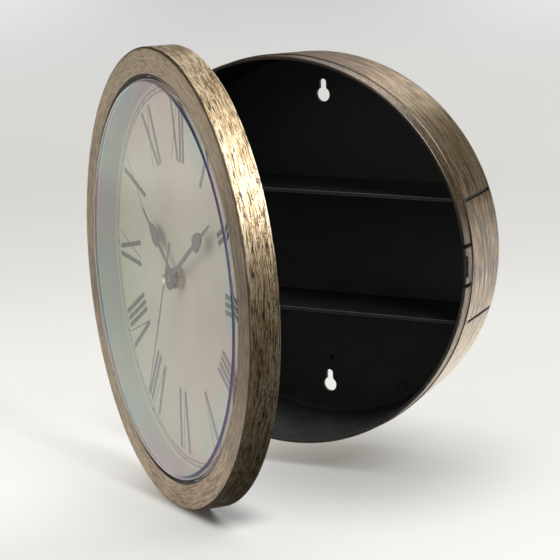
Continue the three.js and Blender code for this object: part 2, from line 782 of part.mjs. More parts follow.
// Everything that swings with the door is modelled shut, then turned about the hinge pin
function doorGroup() {
  const hinge = new THREE.Group();
  hinge.position.set(hingeX, hingeY, 0);
  hinge.rotation.z = -doorOpen * radians;
  const door = new THREE.Group();
  door.position.set(-hingeX, -hingeY, 0);
  hinge.add(door);
  door.add(piece('bezel_ring', bezelRing(), 'brushedBronze'));
  door.add(piece('hinge_pin', hingePin(), 'steel'));
  door.add(piece('lens', lens(), 'clear'));
  door.add(piece('dial_pan', dialPan(), 'paleGrey'));
  door.add(piece('dial_sheet', dialSheet(), 'dialPaper'));
  door.add(piece('dial_washer', dialWasher(), 'brass'));
  door.add(piece('hex_nut', hexNut(), 'brass'));
  door.add(piece('threaded_bush', threadedBush(), 'brass'));
  lugAngles.forEach((angle, index) => {
    const screw = piece(`pan_screw_${index + 1}`, panScrew(), 'steel');
    screw.rotation.y = angle * radians;
    door.add(screw);
  });
  door.add(piece('movement_case', movementCase(), 'blackPlastic'));
  door.add(piece('movement_cover', movementCover(), 'blackPlastic'));
  door.add(piece('set_knob', setKnob(), 'blackPlastic'));
  door.add(piece('battery', battery(), 'cell'));
  door.add(piece('positive_contact', positiveContact(), 'steel'));
  door.add(piece('negative_contact', negativeContact(), 'steel'));
  door.add(handGroup(hourAngle, [
    piece('hour_hand', spadeHand(hourHandLength, hourHubRadius, hourTubeRadius + fitGap,
      handPlane(hourPlaneShare), hourSpadeShares), 'darkHand'),
    piece('hour_tube', hourTube(), 'steel'),
  ]));
  door.add(handGroup(minuteAngle, [
    piece('minute_hand', spadeHand(minuteHandLength, minuteHubRadius, minuteTubeRadius + fitGap,
      handPlane(minutePlaneShare), minuteSpadeShares), 'darkHand'),
    piece('minute_tube', minuteTube(), 'steel'),
  ]));
  door.add(handGroup(secondAngle, [
    piece('second_hand', secondHand(), 'darkHand'),
    piece('second_cap', secondCap(), 'brass'),
    piece('second_shaft', secondShaft(), 'steel'),
  ]));
  return hinge;
}

// A hand and its shaft, turned clockwise from twelve o'clock
function handGroup(angle, meshes) {
  const group = new THREE.Group();
  group.rotation.y = angle * radians;
  group.add(...meshes);
  return group;
}

const safe = new THREE.Group();
safe.add(piece('drum_shell', drumShell(), 'brushedBronze'));
safe.add(piece('upper_shelf', shelf(shelfHeight), 'blackPlastic'));
safe.add(piece('lower_shelf', shelf(-shelfHeight), 'blackPlastic'));
safe.add(doorGroup());

export default safe;
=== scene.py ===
import json
from math import atan2, cos, hypot, pi, radians, sin

import bmesh
import bpy
from mathutils import Matrix, Vector


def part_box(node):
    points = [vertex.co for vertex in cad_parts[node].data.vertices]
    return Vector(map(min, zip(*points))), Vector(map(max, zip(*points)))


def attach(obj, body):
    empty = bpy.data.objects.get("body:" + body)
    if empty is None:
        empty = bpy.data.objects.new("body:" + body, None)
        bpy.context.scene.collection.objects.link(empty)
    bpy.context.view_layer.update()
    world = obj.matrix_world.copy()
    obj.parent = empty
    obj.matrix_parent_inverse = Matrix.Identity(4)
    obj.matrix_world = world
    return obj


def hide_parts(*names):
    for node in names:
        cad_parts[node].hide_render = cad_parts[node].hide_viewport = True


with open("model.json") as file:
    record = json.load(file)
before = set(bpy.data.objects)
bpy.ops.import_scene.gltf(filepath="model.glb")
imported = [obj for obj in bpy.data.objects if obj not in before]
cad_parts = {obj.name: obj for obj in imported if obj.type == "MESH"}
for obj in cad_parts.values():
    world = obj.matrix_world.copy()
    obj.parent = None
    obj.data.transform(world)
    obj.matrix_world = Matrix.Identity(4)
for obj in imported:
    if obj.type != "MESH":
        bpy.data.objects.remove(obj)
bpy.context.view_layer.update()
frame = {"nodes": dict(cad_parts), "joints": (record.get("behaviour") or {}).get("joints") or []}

# Camera.
# It stands to the right of the open clock, a little above it, and looks down at the drum's middle
# with a long lens.
scene = bpy.context.scene
camera_place = Vector((0.54073, -1.08277, 0.23673))
camera_yaw, camera_pitch, camera_roll = 0.48766, -0.21457, -0.02905
camera = bpy.data.objects.new("camera", bpy.data.cameras.new("camera"))
camera.data.sensor_width = 36
camera.data.lens = 131.42
camera.matrix_world = (
    Matrix.Translation(camera_place)
    @ Matrix.Rotation(camera_yaw, 4, "Z")
    @ Matrix.Rotation(pi / 2 + camera_pitch, 4, "X")
    @ Matrix.Rotation(camera_roll, 4, "Z")
)
scene.collection.objects.link(camera)
scene.camera = camera
scene.view_settings.view_transform = "Standard"


# Paper floor and backdrop.
# One wide sheet of pale paper lies under the clock and curves up behind it. The door's rim
# rests on it, and the drum hangs a little above.
floor_height = -0.1277
sweep_ahead, sweep_behind, sweep_bend, sweep_half = 2.2, 1.0, 0.6, 2.6
sweep_turn, sweep_steps = radians(50), 24


def put(tree, kind, inputs=None, **settings):
    """Adds a node, sets its options, and sets or links its inputs."""
    node = tree.nodes.new(kind)
    for name, value in settings.items():
        setattr(node, name, value)
    for key, value in (inputs or {}).items():
        if isinstance(value, bpy.types.NodeSocket):
            tree.links.new(value, node.inputs[key])
        else:
            node.inputs[key].default_value = value
    return node


def calc(tree, operation, first, second=0.0, third=0.0):
    """One step of arithmetic."""
    inputs = {0: first, 1: second, 2: third}
    return put(tree, "ShaderNodeMath", inputs, operation=operation).outputs[0]


def product(tree, first, *others):
    """Several values multiplied together."""
    for other in others:
        first = calc(tree, "MULTIPLY", first, other)
    return first


def largest(tree, first, *others):
    """The largest of several values."""
    for other in others:
        first = calc(tree, "MAXIMUM", first, other)
    return first


def between(tree, value, low, high, start=0.0, end=1.0):
    """Spreads low..high of a value smoothly over start..end."""
    inputs = {"Value": value, "From Min": low, "From Max": high, "To Min": start, "To Max": end}
    return put(tree, "ShaderNodeMapRange", inputs, interpolation_type="SMOOTHSTEP").outputs[0]


def tint(tree, share, first, second, mode="MIX"):
    """Mixes two colours by a share."""
    inputs = {0: share, 6: first, 7: second}
    return put(tree, "ShaderNodeMix", inputs, data_type="RGBA", blend_type=mode).outputs[2]


def new_finish(name, plain):
    """A material with its Principled shader's plain values set."""
    finish = bpy.data.materials.new(name)
    finish.use_nodes = True
    shader = finish.node_tree.nodes["Principled BSDF"]
    for socket, value in plain.items():
        shader.inputs[socket].default_value = value
    return finish, finish.node_tree, shader


def speckle(tree, point, scale, detail=2.0, roughness=0.5):
    """Cloudy noise, a value near one half."""
    inputs = {"Vector": point, "Scale": scale, "Detail": detail, "Roughness": roughness}
    return put(tree, "ShaderNodeTexNoise", inputs).outputs[0]


def object_point(tree):
    """The place on the piece, in Object coordinates."""
    return put(tree, "ShaderNodeTexCoord").outputs["Object"]


def xyz(tree, point):
    """A point's three coordinates."""
    return put(tree, "ShaderNodeSeparateXYZ", {0: point}).outputs


def feed(tree, sockets, values, relief=None, strength=0.0, distance=0.0001):
    """Links values to sockets by name, and a relief through a bump to the normal."""
    for label, value in values.items():
        tree.links.new(value, sockets[label])
    if strength:
        inputs = {"Height": relief, "Strength": strength, "Distance": distance}
        tree.links.new(put(tree, "ShaderNodeBump", inputs).outputs[0], sockets["Normal"])


floor_shade, backdrop_painted_shade = (0.87, 0.863, 0.824, 1), (0.54, 0.55, 0.56, 1)
wing_painted_light, wing_centre, wing_strength = (0.88, 0.88, 0.88, 1), -0.03, 0.85
bounce_shade = (0.58, 0.58, 0.58, 1)
shade_height = 0.22
drum_shadow_place, drum_shadow_depth = (0.02, -0.06, floor_height), 0.27
rim_shadow_place, rim_shadow_turn = (-0.112, -0.075, 0), -0.977
paper, tree, shader = new_finish("studio paper", {"Roughness": 0.9, "Specular IOR Level": 0.1})
point = object_point(tree)
inputs = {"Vector": point, "Rotation": (0, 0, camera_yaw)}
facing = put(tree, "ShaderNodeMapping", inputs, vector_type="TEXTURE").outputs[0]
x, y, z = xyz(tree, facing)
# The backdrop is painted grey higher up, painted shade, and paler again towards its sides, painted light
rise = between(tree, z, floor_height, floor_height + shade_height)
aside = calc(tree, "ABSOLUTE", calc(tree, "SUBTRACT", x, wing_centre))
wings = product(tree, rise, between(tree, aside, 0.06, 0.42), wing_strength)
shade = tint(tree, wings, tint(tree, rise, floor_shade, backdrop_painted_shade), wing_painted_light)
cloud = between(tree, speckle(tree, point, 1.7), 0.3, 0.7, 0.98, 1.02)
shade = tint(tree, 1.0, shade, cloud, "MULTIPLY")

# Reflections and bounced light see a darker paper before the clock, at its left, higher up and far in front:
# painted shade
rays = put(tree, "ShaderNodeLightPath").outputs
seen = largest(tree, rays["Is Camera Ray"], rays["Is Transmission Ray"])
right = between(tree, x, -0.12, -0.05)
near_painted_shade = product(tree, between(tree, y, 0.00, -0.16, 0.0, 0.9), right)
left_painted_shade = product(tree, between(tree, x, -0.25, -0.45, 0.0, 0.42), between(tree, x, -0.92, -0.70))
front_painted_shade = between(tree, y, -1.1, -2.0, 0.0, 0.8)
unseen_painted_shade = largest(tree, near_painted_shade, left_painted_shade, product(tree, rise, 0.5), front_painted_shade)
shade = tint(tree, product(tree, calc(tree, "SUBTRACT", 1.0, seen), unseen_painted_shade), shade, (0, 0, 0, 1))
# Reflections see the floor glowing behind the clock and to its left, brightest at the right and far left:
# painted light for the metal and glass to mirror
open_floor = largest(tree, between(tree, y, -0.10, 0.05), calc(tree, "SUBTRACT", 1.0, right))
lit = product(tree, open_floor, between(tree, rise, 0.1, 0.6, 1.0, 0.0), between(tree, y, -2.0, -1.1))
spread = between(tree, x, -0.30, -0.20, 0.25, 0.40)
for low, high, gain in ((-0.08, 0.02, 0.50), (-0.70, -0.92, 0.30)):
    spread = calc(tree, "ADD", spread, between(tree, x, low, high, 0.0, gain))
mirrored = product(tree, lit, spread, rays["Is Glossy Ray"])

# The camera sees it evenly lit and a little brighter up the backdrop, less painted soft shadows below the
# drum and along the door's rim
direct = calc(tree, "MULTIPLY_ADD", rise, 0.20, 0.518)
inputs = {0: facing, 1: drum_shadow_place}
span = put(tree, "ShaderNodeVectorMath", inputs, operation="DISTANCE").outputs["Value"]
direct = calc(tree, "SUBTRACT", direct, between(tree, span, 0.02, 0.125, drum_shadow_depth, 0.0))
inputs = {"Vector": facing, "Location": rim_shadow_place, "Rotation": (0, 0, rim_shadow_turn)}
along, off, _ = xyz(tree, put(tree, "ShaderNodeMapping", inputs, vector_type="TEXTURE").outputs[0])
rim_shadow = product(
    tree, between(tree, along, -0.04, 0.075, 0.05, 0.50), between(tree, along, 0.112, 0.085),
    between(tree, off, 0.030, 0.004), between(tree, off, -0.016, -0.006),
)
direct = calc(tree, "SUBTRACT", direct, rim_shadow)
# Painted shade on the floor in front of the clock, at the left
close = product(tree, between(tree, y, -0.15, -0.19), between(tree, x, 0.03, -0.04))
direct = largest(tree, calc(tree, "MULTIPLY_ADD", close, -0.045, direct), 0.0)
# A painted pool of light on the floor beside the clock, at the left
left_glow = product(tree, between(tree, x, -0.06, -0.17), between(tree, y, 0.30, 0.0))
left_glow = product(tree, left_glow, between(tree, y, -0.22, -0.07))
direct = calc(tree, "MULTIPLY_ADD", left_glow, 0.20, direct)
# Painted shade on the floor far behind the clock
far = product(tree, between(tree, y, 0.25, 0.55), calc(tree, "SUBTRACT", 1.0, rise))
direct = calc(tree, "MULTIPLY_ADD", far, -0.07, direct)
feed(tree, shader.inputs, {
    "Base Color": tint(tree, 1.0, shade, bounce_shade, "MULTIPLY"),
    "Emission Color": shade,
    "Emission Strength": largest(tree, product(tree, direct, seen), mirrored),
})

form = bmesh.new()
profile = [(-sweep_ahead, floor_height)]
for i in range(sweep_steps + 1):
    angle = sweep_turn * i / sweep_steps
    profile.append((sweep_behind + sweep_bend * sin(angle), floor_height + sweep_bend * (1 - cos(angle))))
away = Vector((-sin(camera_yaw), cos(camera_yaw), 0))
across = Vector((cos(camera_yaw), sin(camera_yaw), 0))
rows = []
for distance, height in profile:
    centre = away * distance + Vector((0, 0, height))
    rows.append([form.verts.new(centre + across * side) for side in (-sweep_half, sweep_half)])
for (a, b), (c, d) in zip(rows, rows[1:]):
    form.faces.new((a, b, d, c))
mesh = bpy.data.meshes.new("paper sweep")
form.to_mesh(mesh)
form.free()
mesh.shade_smooth()
mesh.materials.append(paper)
sweep = bpy.data.objects.new("paper sweep", mesh)
scene.collection.objects.link(sweep)


# Studio light.
# Soft boxes stand overhead, high behind, at the upper right and, large and far off, at the front
# left. The room itself is a dim warm white.
def soft_box(name, place, target, size, power, colour=(1, 1, 1)):
    """A square soft box that faces a point."""
    lamp = bpy.data.lights.new(name, "AREA")
    lamp.size, lamp.energy, lamp.color = size, power, colour
    box = bpy.data.objects.new(name, lamp)
    box.location = place
    box.rotation_euler = (Vector(target) - Vector(place)).to_track_quat("-Z", "Y").to_euler()
    scene.collection.objects.link(box)


soft_box("overhead box", (0.35, 0.00, 1.20), (0, -0.05, 0), 1.0, 5.5)
soft_box("rear box", (-0.30, 1.75, 1.40), (0, 0, 0), 1.3, 7.0)
soft_box("side box", (0.95, -0.36, 0.97), (0.0, -0.10, 0), 0.62, 9.0, (0.96, 1.0, 1.08))
soft_box("front box", (-0.95, -1.60, 0.80), (0, 0, 0), 1.8, 16.0)
room_shade, room_light, mirrored_room, seen_room = (1.0, 0.975, 0.935, 1), 0.20, 0.07, 0.55
room = bpy.data.worlds.new("studio room")
room.use_nodes = True
tree = room.node_tree
backdrop = tree.nodes["Background"]
backdrop.inputs["Color"].default_value = room_shade
rays = put(tree, "ShaderNodeLightPath").outputs
dimmed = between(tree, rays["Is Glossy Ray"], 0.0, 1.0, room_light, mirrored_room)
shown = calc(tree, "MULTIPLY_ADD", rays["Is Camera Ray"], seen_room, dimmed)
feed(tree, backdrop.inputs, {"Strength": shown})
scene.world = room


# Drum.
# A shallow tapered drum, moulded in black plastic in one piece, with a stepped lip, a snap tongue
# and two hinge arms. Outside it is sprayed bronze, brushed round while wet and rubbed back.
drum_depth, drum_draft, drum_body_depth, drum_back_radius = 0.058, 0.0030, 0.0483, 0.1114
drum_rounded_from = 0.09
lacquer_reach, drum_coat = 0.00125, 0.45
finer_cuts, widest_step, narrowest_step = 3, radians(8), radians(2.5)
crease_angle = radians(35)


def shape_of(name):
    """A CAD node's loose triangles, joined into one surface."""
    form = bmesh.new()
    source = frame["nodes"][name].data
    corners = [form.verts.new(v.co) for v in source.vertices]
    for triangle in source.polygons:
        form.faces.new([corners[i] for i in triangle.vertices])
    bmesh.ops.remove_doubles(form, verts=form.verts, dist=1e-6)
    return form


def round_off(form, place, least):
    """Splits each edge that runs round the axis, from a least radius out, on to the true circle."""
    form.transform(place.inverted())
    for edge in list(form.edges):
        start, end = (v.co.copy() for v in edge.verts)
        radii = hypot(start.x, start.z), hypot(end.x, end.z)
        angles = atan2(start.x, start.z), atan2(end.x, end.z)
        step = (angles[1] - angles[0] + pi) % (2 * pi) - pi
        if min(radii) < least or not narrowest_step < abs(step) < widest_step:
            continue
        vert = edge.verts[0]
        for i in range(1, finer_cuts + 1):
            share = i / (finer_cuts + 1)
            vert = bmesh.utils.edge_split(edge, vert, 0.5)[1]
            radius = radii[0] + (radii[1] - radii[0]) * share
            angle = angles[0] + step * share
            vert.co = (radius * sin(angle), start.y + (end.y - start.y) * share, radius * cos(angle))
    bmesh.ops.triangulate(form, faces=form.faces, ngon_method="BEAUTY")
    form.transform(place)
    return form


def finished(form, name, body, material, replaced=(), bevel=0.0):
    """The surface as a shown piece that rides on a body and stands for CAD nodes."""
    name = name.replace(" ", "_") + "_finished"
    mesh = bpy.data.meshes.new(name)
    form.to_mesh(mesh)
    form.free()
    mesh.shade_smooth()
    mesh.set_sharp_from_angle(angle=crease_angle)
    mesh.materials.append(material)
    piece = bpy.data.objects.new(name, mesh)
    scene.collection.objects.link(piece)
    if bevel:
        edge = piece.modifiers.new("softened edges", "BEVEL")
        edge.width, edge.segments, edge.limit_method = bevel, 2, "ANGLE"
        edge.angle_limit, edge.harden_normals = crease_angle, False
    piece.modifiers.new("even shading", "WEIGHTED_NORMAL").keep_sharp = True
    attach(piece, body)
    if replaced:
        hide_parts(*replaced)


def effect(name, inputs, outputs):
    """A shader node group with named sockets, typed by their values."""
    kinds = {1: "NodeSocketFloat", 3: "NodeSocketVector", 4: "NodeSocketColor"}
    group = bpy.data.node_groups.new(name, "ShaderNodeTree")
    for label, value in inputs.items():
        count = len(value) if isinstance(value, tuple) else 1
        group.interface.new_socket(label, in_out="INPUT", socket_type=kinds[count]).default_value = value
    for label, count in outputs.items():
        group.interface.new_socket(label, in_out="OUTPUT", socket_type=kinds[count])
    return group, group.nodes.new("NodeGroupInput").outputs, group.nodes.new("NodeGroupOutput").inputs


def axis_point(tree, place):
    """The place on the piece, moved so that the piece's own axis is the Y axis."""
    inputs = {"Vector": object_point(tree), "Location": place.translation, "Rotation": place.to_euler()}
    return put(tree, "ShaderNodeMapping", inputs, vector_type="TEXTURE").outputs[0]


def radius_and_depth(tree, point):
    """Distance from the Y axis, and the Y coordinate."""
    x, y, z = xyz(tree, point)
    flat = put(tree, "ShaderNodeCombineXYZ", {"X": x, "Z": z}).outputs[0]
    return put(tree, "ShaderNodeVectorMath", {0: flat}, operation="LENGTH").outputs["Value"], y


turned_lines, given, result = effect(
    "turned lines", {"Point": (0.0, 0.0, 0.0), "Round": 10.0, "Lines": 2000.0, "Wander": 0.0}, {"Vector": 3}
)
tree, point = turned_lines, given["Point"]
x, _, z = xyz(tree, point)
radius, depth = radius_and_depth(tree, point)
drift = calc(tree, "SUBTRACT", speckle(tree, point, 28.0, 1.0), 0.5)
along = calc(tree, "MULTIPLY_ADD", drift, given["Wander"], calc(tree, "ADD", radius, depth))
near = calc(tree, "MAXIMUM", radius, 0.001)
drawn_out = {
    "X": product(tree, given["Round"], calc(tree, "DIVIDE", x, near)),
    "Y": product(tree, given["Round"], calc(tree, "DIVIDE", z, near)),
    "Z": product(tree, given["Lines"], along),
}
feed(tree, result, {"Vector": put(tree, "ShaderNodeCombineXYZ", drawn_out).outputs[0]})


def lines(tree, point, round_scale, line_scale, wander=0.0, detail=2.0, roughness=0.5):
    """Noise drawn out into strokes that run round the axis."""
    inputs = {"Point": point, "Round": round_scale, "Lines": line_scale, "Wander": wander}
    vector = put(tree, "ShaderNodeGroup", inputs, node_tree=turned_lines).outputs[0]
    return speckle(tree, vector, 1.0, detail, roughness)


rubbed_bronze, given, result = effect(
    "rubbed bronze",
    {
        "Point": (0.0, 0.0, 0.0), "Stroke": 20.0, "Lines": 2600.0, "Rub": 0.5, "Scoring": 0.36,
        "Worn": 0.0, "Grime": 0.0, "Haze": 0.0, "Satin": 0.26, "Dark": (0.024, 0.013, 0.006, 1.0),
        "Bronze": (0.33, 0.200, 0.082, 1.0), "Pale": (0.74, 0.57, 0.34, 1.0), "Film": (0.36, 0.31, 0.26, 1.0),
    },
    {"Color": 4, "Metallic": 1, "Roughness": 1, "Height": 1},
)
tree, point = rubbed_bronze, given["Point"]
stroke = lines(tree, point, given["Stroke"], given["Lines"], 0.004, 3.0, 0.6)
short = lines(tree, point, product(tree, given["Stroke"], 2.5), given["Lines"], 0.006, 2.0, 0.6)
band = lines(tree, point, product(tree, given["Stroke"], 0.35), 650.0, 0.006)
patch = speckle(tree, point, 34.0, 3.0)
tone = calc(tree, "MULTIPLY_ADD", given["Rub"], 0.20, -0.23)
for part, share in ((stroke, 0.60), (short, 0.30), (band, 0.20), (patch, 0.16)):
    tone = calc(tree, "MULTIPLY_ADD", part, share, tone)
scored = lines(tree, point, product(tree, given["Stroke"], 1.6), 1500.0, 0.003, 1.0)
scored = between(tree, scored, given["Scoring"], calc(tree, "SUBTRACT", given["Scoring"], 0.05))
crowd = between(tree, speckle(tree, point, 60.0), 0.42, 0.66, 0.0, 0.10)
fleck = calc(tree, "ADD", lines(tree, point, 85.0, 2300.0, 0.004, 1.0), crowd)
fleck = largest(tree, between(tree, fleck, 0.68, 0.71), scored)
fleck = product(tree, fleck, calc(tree, "MULTIPLY_ADD", given["Haze"], -1.1, 0.85))
# Flecks, grime and painted shade darken the lacquer alike
soil = largest(tree, fleck, given["Grime"])
bright = between(tree, tone, 0.42, 0.48)
colour = tint(tree, bright, given["Dark"], given["Bronze"])
colour = tint(tree, between(tree, tone, 0.49, 0.58), colour, given["Pale"])
colour = tint(tree, given["Haze"], colour, given["Film"])
colour = tint(tree, product(tree, given["Worn"], 0.85), colour, given["Pale"])
shine = calc(tree, "MULTIPLY_ADD", bright, 0.35, 0.55)
rough = calc(tree, "MULTIPLY_ADD", short, 0.30, given["Satin"])
feed(tree, result, {
    "Color": tint(tree, soil, colour, given["Dark"]),
    "Metallic": calc(tree, "MULTIPLY_ADD", soil, -0.35, shine),
    "Roughness": calc(tree, "MULTIPLY_ADD", bright, -0.05, rough),
    "Height": calc(tree, "MULTIPLY_ADD", soil, -0.4, tone),
})

moulded, given, result = effect(
    "moulded plastic",
    {
        "Point": (0.0, 0.0, 0.0), "Color": (0.019, 0.018, 0.017, 1.0), "Dust": (0.25, 0.23, 0.20, 1.0),
        "Dustiness": 0.3, "Gloss": 0.5, "Texture": 1500.0, "Mottle": 0.35,
    },
    {"Color": 4, "Roughness": 1, "Height": 1},
)
tree, point = moulded, given["Point"]
grain = speckle(tree, point, given["Texture"])
smear = speckle(tree, point, 30.0, 4.0, 0.6)
specks = between(tree, speckle(tree, point, 900.0, 1.0), 0.70, 0.76)
film = product(tree, between(tree, smear, 0.42, 0.75), 0.10)
dust = product(tree, calc(tree, "MULTIPLY_ADD", specks, 0.25, film), given["Dustiness"])
least, most = (calc(tree, way, 1.0, given["Mottle"]) for way in ("SUBTRACT", "ADD"))
mottled = tint(tree, 1.0, given["Color"], between(tree, grain, 0.35, 0.65, least, most), "MULTIPLY")
worn = calc(tree, "MULTIPLY_ADD", calc(tree, "SUBTRACT", smear, 0.5), 0.22, given["Gloss"])
feed(tree, result, {
    "Color": tint(tree, dust, mottled, given["Dust"]),
    "Roughness": calc(tree, "MULTIPLY_ADD", grain, 0.08, worn),
    "Height": grain,
})


def moulding(tree, point, **settings):
    """The outputs of bare moulded plastic, black unless a colour is given."""
    return put(tree, "ShaderNodeGroup", {"Point": point, **settings}, node_tree=moulded).outputs


def sprayed_moulding(name, place, masks, coat, settings):
    """Bronze lacquer over black plastic. The masks say where it is sprayed, and how it varies."""
    plain = {"Specular IOR Level": 0.4, "Coat Roughness": 0.28, "Coat IOR": 1.5}
    finish, tree, shader = new_finish(name, plain)
    point = axis_point(tree, place)
    sprayed, varied = masks(tree, point)
    inputs = {"Point": point, **settings, **varied}
    bronze = put(tree, "ShaderNodeGroup", inputs, node_tree=rubbed_bronze).outputs
    height = xyz(tree, point)["Z"]
    # The bare black plastic is dustier low down and painted paler there: dust, and painted light on the lower
    # inside
    black = moulding(tree, point, Gloss=0.48, Dustiness=between(tree, height, 0.04, -0.09, 0.2, 1.6))
    bare = tint(tree, between(tree, height, 0.08, -0.07, 0.0, 0.10), black["Color"], (0.46, 0.45, 0.42, 1))
    rough, relief = (
        put(tree, "ShaderNodeMix", {0: sprayed, 2: black[label], 3: bronze[label]}).outputs[0]
        for label in ("Roughness", "Height")
    )
    feed(tree, shader.inputs, {
        "Base Color": tint(tree, sprayed, bare, bronze["Color"]),
        "Metallic": product(tree, sprayed, bronze["Metallic"]),
        "Coat Weight": product(tree, sprayed, coat),
        "Roughness": rough,
    }, relief, 0.35, 0.0002)
    return finish


def near_edge(tree, radius, depth, edge_radius, edge_depth, reach):
    """One within reach of a turned edge, falling off over the same distance."""
    out = calc(tree, "ABSOLUTE", calc(tree, "SUBTRACT", radius, edge_radius))
    along = calc(tree, "ABSOLUTE", calc(tree, "SUBTRACT", depth, edge_depth))
    return between(tree, calc(tree, "ADD", out, along), reach, 2 * reach, 1.0, 0.0)


def patches(tree, point, scale, low, high, detail=3.0):
    """Cloudy noise with low..high spread over nought to one."""
    return between(tree, speckle(tree, point, scale, detail), low, high)


def ragged(tree, point, scale, reach):
    """A random shift that roughens a mask's edge."""
    return calc(tree, "MULTIPLY_ADD", speckle(tree, point, scale, 3.0), reach, -reach / 2)


lip_radius, lip_step = 0.1139, 0.0005
lip_front, lip_rear = (lip_radius, -drum_depth), (lip_radius + lip_step, -drum_body_depth)
tongue_half, tongue_tip = 0.0095, 0.0010
slot_level, slot_grime, slot_front, slot_rear = 0.035, 0.0016, 0.0480, 0.0465
rear_grime, edge_grime = 0.0060, 0.0008

# Height, reach and gain of each level painted paler or darker than the rest: painted light where the gain is
# above nought, painted shade where below
rubbed_bands = ((0.112, 0.018, -0.30), (0.084, 0.035, 0.36), (-0.004, 0.045, -0.36), (-0.068, 0.040, 0.34))


def drum_masks(tree, point):
    """Bronze outside but for the tongue's tip; lip edges worn low down and painted dark high up, painted
    shade; lip, rear and slots grimy; levels painted paler or darker, painted light and shade.
    """
    radius, depth = radius_and_depth(tree, point)
    x, _, z = xyz(tree, point)
    taper = calc(tree, "MINIMUM", calc(tree, "DIVIDE", depth, -drum_body_depth), 1.0)
    skin = calc(tree, "MULTIPLY_ADD", taper, drum_draft, drum_back_radius - lacquer_reach)
    over = calc(tree, "ADD", calc(tree, "SUBTRACT", radius, skin), ragged(tree, point, 260.0, 0.0016))
    level = calc(tree, "ABSOLUTE", z)
    tip = product(tree, between(tree, level, tongue_half, tongue_half - 0.0006), between(tree, x, 0.05, 0.06),
                  between(tree, depth, tongue_tip - drum_depth, tongue_tip - drum_depth - 0.0003))
    off_tip = calc(tree, "SUBTRACT", 1.0, tip)
    sprayed = product(tree, between(tree, over, -0.0003, 0.0004), off_tip)
    front = near_edge(tree, radius, depth, *lip_front, 0.0003)
    step = near_edge(tree, radius, depth, *lip_rear, 0.00025)
    step = product(tree, step, patches(tree, point, 90.0, 0.35, 0.60, 2.0))
    worn = product(tree, largest(tree, front, step), between(tree, z, 0.030, -0.030, 0.15, 1.0), off_tip)
    dirt = between(tree, speckle(tree, point, 700.0, 3.0, 0.6), 0.42, 0.58, 0.25, 0.85)
    lip = product(tree, between(tree, depth, -drum_body_depth - 0.0003, -drum_body_depth - 0.0008), dirt)
    rear = between(tree, depth, -rear_grime, -0.0010, 0.0, 0.55)
    off_slot = calc(tree, "ABSOLUTE", calc(tree, "SUBTRACT", level, slot_level))
    off_slot = calc(tree, "ADD", off_slot, ragged(tree, point, 500.0, 0.0020))
    behind_lip = between(tree, depth, -slot_front, -slot_rear)
    slot = product(tree, between(tree, off_slot, slot_grime, 0.0009), behind_lip, 0.9)
    # The lip's edges are painted dark high up, painted shade
    edges = [near_edge(tree, radius, depth, *edge, edge_grime) for edge in (lip_front, lip_rear)]
    edges = product(tree, largest(tree, *edges), between(tree, z, -0.020, 0.020, 0.0, 0.85))
    rub = 0.56
    for height, reach, gain in rubbed_bands:
        span = calc(tree, "ABSOLUTE", calc(tree, "SUBTRACT", z, height))
        rub = calc(tree, "ADD", rub, between(tree, span, 0.0, reach, gain, 0.0))
    return sprayed, {"Worn": worn, "Grime": largest(tree, lip, rear, slot, edges), "Rub": rub}


drum_strokes = {
    "Stroke": 5.0, "Lines": 1500.0, "Scoring": 0.43,
    "Bronze": (0.44, 0.245, 0.088, 1), "Pale": (0.83, 0.64, 0.39, 1),
}
drum_finish = sprayed_moulding("drum lacquer", Matrix.Identity(4), drum_masks, drum_coat, drum_strokes)
form = round_off(shape_of("drum_shell"), Matrix.Identity(4), drum_rounded_from)
finished(form, "drum", "case", drum_finish, ["drum_shell"])


# Moulding marks.
# A round pip above the lower keyhole, a smaller one at the drum's middle and the rings left by two
# ejector pins, all low relief in the drum's own plastic.
wall = 0.0020
mark_steps, dome_steps = 32, 6
pips = {(0.0015, -0.0757): (0.0017, 0.0009), (-0.0010, -0.0010): (0.0012, 0.0005)}
pin_rings = ((-0.0290, -0.0950), (0.0490, -0.0890))
ring_radius, ring_width, ring_height = 0.0032, 0.00035, 0.00018


def moulded_finish(name, place, strength, specular=0.5, **settings):
    """Bare moulded plastic, its fine texture shown as a relief of the given strength."""
    finish, tree, shader = new_finish(name, {"Specular IOR Level": specular})
    plastic = moulding(tree, axis_point(tree, place), **settings)
    colours = {"Base Color": plastic["Color"], "Roughness": plastic["Roughness"]}
    feed(tree, shader.inputs, colours, plastic["Height"], strength)
    return finish


def turned_form(points, steps, closed=True):
    """A surface turned about the Y axis from [radius, y] points."""
    form = bmesh.new()
    rows = []
    for i in range(steps):
        angle = 2 * pi * i / steps
        rows.append([form.verts.new((r * sin(angle), y, r * cos(angle))) for r, y in points])
    count = len(points)
    for i, row in enumerate(rows):
        after = rows[(i + 1) % steps]
        for j in range(count if closed else count - 1):
            k = (j + 1) % count
            form.faces.new((row[j], after[j], after[k], row[k]))
    bmesh.ops.remove_doubles(form, verts=form.verts, dist=1e-7)
    bmesh.ops.recalc_face_normals(form, faces=form.faces)
    return form


def quarter_turn(steps):
    """Sine and cosine at even steps over a quarter of a turn."""
    return [(sin(pi / 2 * i / steps), cos(pi / 2 * i / steps)) for i in range(steps + 1)]


def add_to(whole, form):
    """Puts a form's surface into a larger one."""
    mesh = bpy.data.meshes.new("single form")
    form.to_mesh(mesh)
    form.free()
    whole.from_mesh(mesh)
    bpy.data.meshes.remove(mesh)


marks = bmesh.new()
for (x, z), (radius, height) in pips.items():
    dome = [(radius * out, -wall - height * up) for up, out in quarter_turn(dome_steps)]
    pip = turned_form([(0, -wall), *dome], mark_steps, closed=False)
    pip.transform(Matrix.Translation((x, 0, z)))
    add_to(marks, pip)
for x, z in pin_rings:
    inner, outer = ring_radius - ring_width, ring_radius + ring_width
    ring = turned_form([(inner, -wall), (ring_radius, -wall - ring_height), (outer, -wall)], mark_steps)
    ring.transform(Matrix.Translation((x, 0, z)))
    add_to(marks, ring)
mark_finish = moulded_finish("mark plastic", Matrix.Identity(4), 0.0, Gloss=0.30)
finished(marks, "moulding marks", "case", mark_finish)
